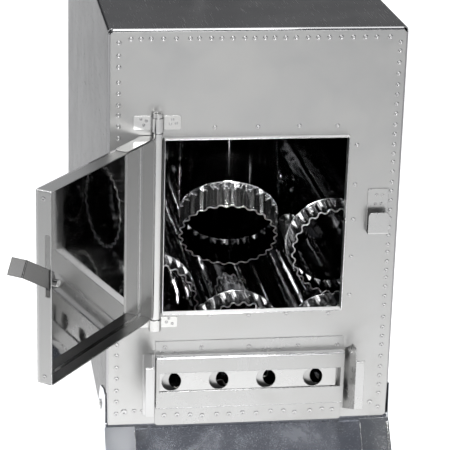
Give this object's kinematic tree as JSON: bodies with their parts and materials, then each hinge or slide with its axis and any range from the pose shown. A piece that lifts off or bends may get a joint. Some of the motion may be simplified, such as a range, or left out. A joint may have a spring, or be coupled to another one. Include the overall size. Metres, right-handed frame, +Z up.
{
  "type": "camping wood stove",
  "caption": "Box-shaped sheet steel camping stove with hinged door and latch, sliding air control, folding plate legs, roof flue socket and flue tubes stored in the firebox.",
  "frame": {"origin": "On the ground, on the middle of the front leg's foot flange.", "axes": "+Z up, along the flue outlet's bore. -Y is the stove's front, +X its right side seen from the front."},
  "size_m": [0.3416, 0.7645, 0.504],
  "materials": {
    "front_steel": "polished stainless sheet, spot welded",
    "body_steel": "smooth stainless sheet",
    "door_steel": "mirror-polished stainless sheet inside, smooth outside",
    "flue_steel": "bright rolled stainless sheet",
    "leg_steel": "smooth dark-reflecting stainless sheet"
  },
  "bodies": {
    "stove_body": {"body_wrap": "body_steel", "front_panel": "front_steel", "rear_panel": "body_steel", "floor_pan": "body_steel", "grate": "body_steel", "door_frame": "front_steel", "hinge_strap_upper": "front_steel", "hinge_strap_lower": "front_steel", "hinge_knuckle_upper": "front_steel", "hinge_knuckle_lower": "front_steel", "hinge_pin": "front_steel", "door_catch": "front_steel", "intake_cover": "front_steel", "tray_bracket_left": "front_steel", "tray_bracket_right": "front_steel", "flue_collar": "flue_steel", "flue_socket": "flue_steel", "chimney_section_1": "flue_steel", "chimney_section_2": "flue_steel", "chimney_section_3": "flue_steel", "chimney_section_4": "flue_steel", "chimney_base_section": "flue_steel", "leg_rivets_front": "leg_steel", "leg_rivets_rear": "leg_steel"},
    "door": {"door_pan": "door_steel", "door_hinge_tube": "front_steel", "door_strap_upper": "front_steel", "door_strap_lower": "front_steel", "latch_pin": "front_steel"},
    "latch": {"latch_handle": "front_steel"},
    "air_slider": {"air_slider": "front_steel"},
    "front_leg": {"front_leg_plate": "leg_steel", "front_leg_angle_left": "leg_steel", "front_leg_angle_right": "leg_steel"},
    "rear_leg": {"rear_leg_plate": "leg_steel", "rear_leg_angle_left": "leg_steel", "rear_leg_angle_right": "leg_steel"}
  },
  "joints": [
    {"name": "door_hinge", "type": "hinge", "parent": "stove_body", "child": "door", "pos_m": [-0.0839, 0.0817, 0.294], "axis": [0, 0, -1], "range_deg": [-125.3, 2]},
    {"name": "latch_turn", "type": "hinge", "parent": "door", "child": "latch", "pos_m": [-0.17933, -0.0382, 0.2956], "axis": [-0.8161, 0.5779, 0], "range_deg": [-30, 30]},
    {"name": "air_slide", "type": "slide", "parent": "stove_body", "child": "air_slider", "axis": [1, 0, 0], "range_m": [-0.002, 0.008]},
    {"name": "front_leg_fold", "type": "hinge", "parent": "stove_body", "child": "front_leg", "pos_m": [0, 0.121, 0.117], "axis": [1, 0, 0], "range_deg": [0, 130]},
    {"name": "rear_leg_fold", "type": "hinge", "parent": "stove_body", "child": "rear_leg", "pos_m": [0, 0.5546, 0.117], "axis": [-1, 0, 0], "range_deg": [0, 130]}
  ]
}
